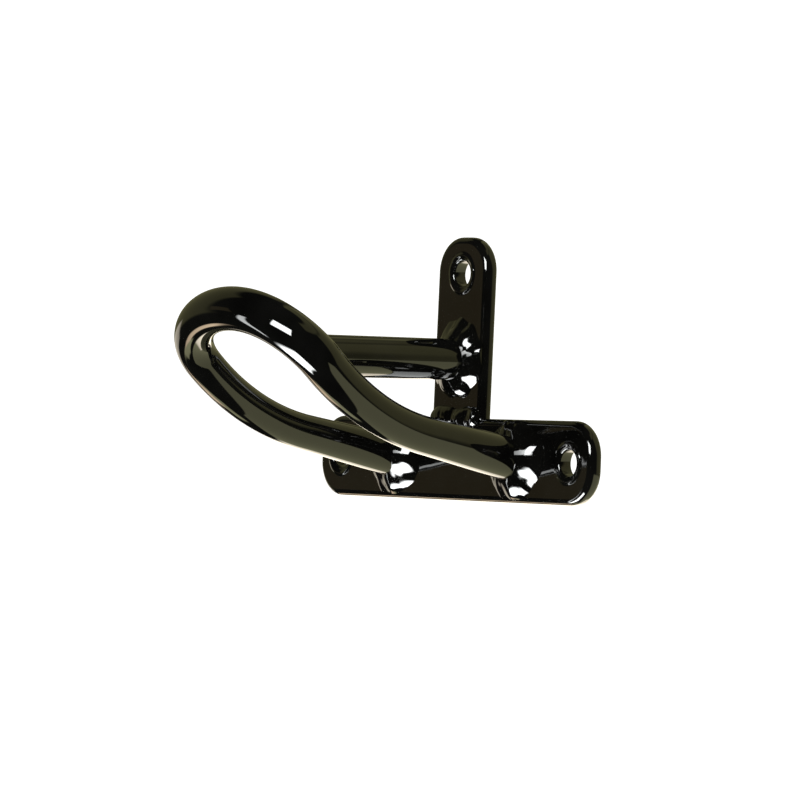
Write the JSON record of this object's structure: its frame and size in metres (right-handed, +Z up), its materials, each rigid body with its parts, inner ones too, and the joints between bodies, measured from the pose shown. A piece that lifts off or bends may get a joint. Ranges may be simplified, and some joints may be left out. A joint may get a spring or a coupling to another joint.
{
  "type": "wall bracket with horn and peg",
  "caption": "Welded steel wall bracket: a drilled tee of flat bar carries a U-shaped upturned horn of round bar and a straight peg, all coated gloss black.",
  "frame": {"origin": "middle of the base bar's back face, which lies against the wall", "axes": "+X along the base bar, to the right for someone facing the wall; +Y into the wall; +Z up"},
  "size_m": [0.1392, 0.0958, 0.0812],
  "materials": {
    "coat": "gloss black coat on steel bar",
    "weld_coat": "gloss black coat over rippled weld beads"
  },
  "bodies": {
    "root": {"base_bar": "coat", "upright_bar": "coat", "horn_rod": "coat", "peg_rod": "coat", "weld_horn_right": "weld_coat", "weld_horn_left": "weld_coat", "weld_peg": "weld_coat", "weld_upright_front": "weld_coat"}
  },
  "joints": []
}
